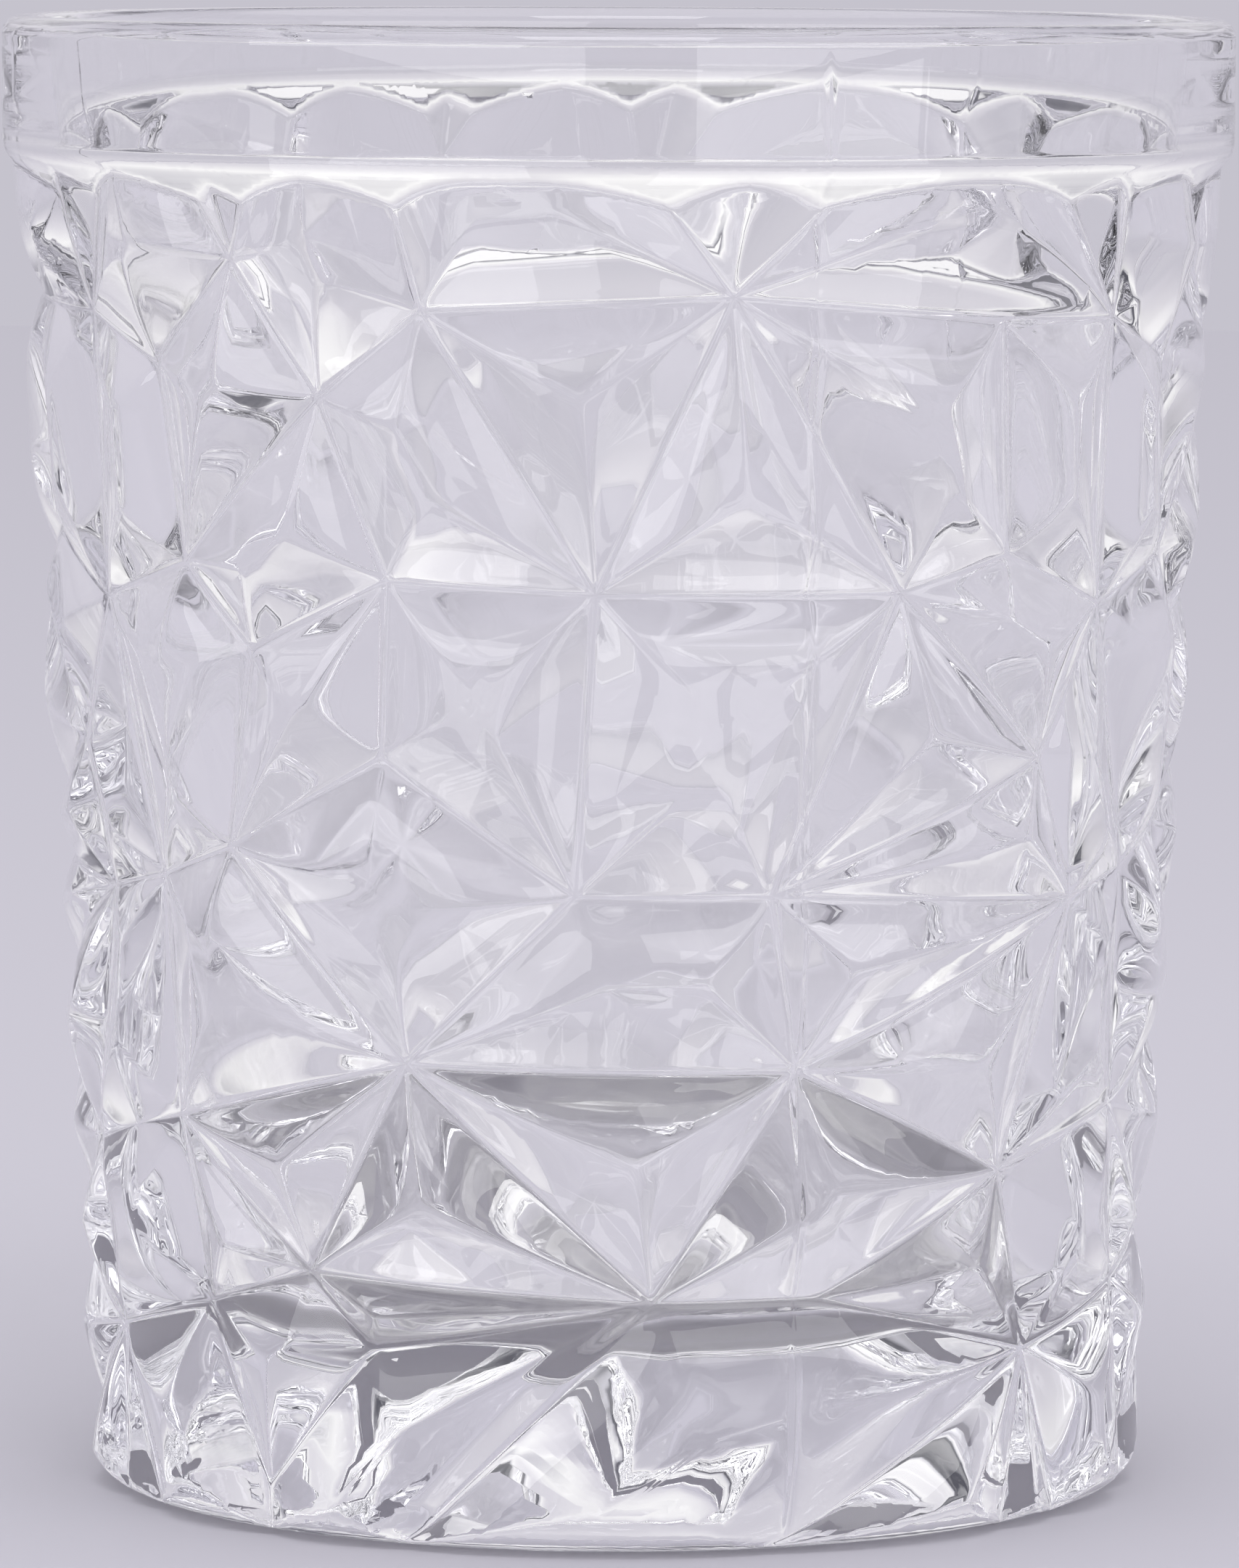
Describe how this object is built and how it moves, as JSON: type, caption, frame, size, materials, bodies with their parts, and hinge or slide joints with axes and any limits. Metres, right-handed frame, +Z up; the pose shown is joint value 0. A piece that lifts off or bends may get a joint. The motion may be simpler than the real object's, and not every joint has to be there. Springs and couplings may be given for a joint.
{
  "type": "whiskey tumbler",
  "caption": "Clear pressed glass tumbler with a plain rim band, a faceted star-net relief on a tapered side and a thick base.",
  "frame": {"origin": "centre of the foot, on the surface that the glass stands on", "axes": "+Z up along the glass's axis of turning, -Y towards the front, +X to the right of the front"},
  "size_m": [0.082, 0.082, 0.098],
  "materials": {
    "glass": "polished"
  },
  "bodies": {
    "root": {"tumbler": "glass"}
  },
  "joints": []
}
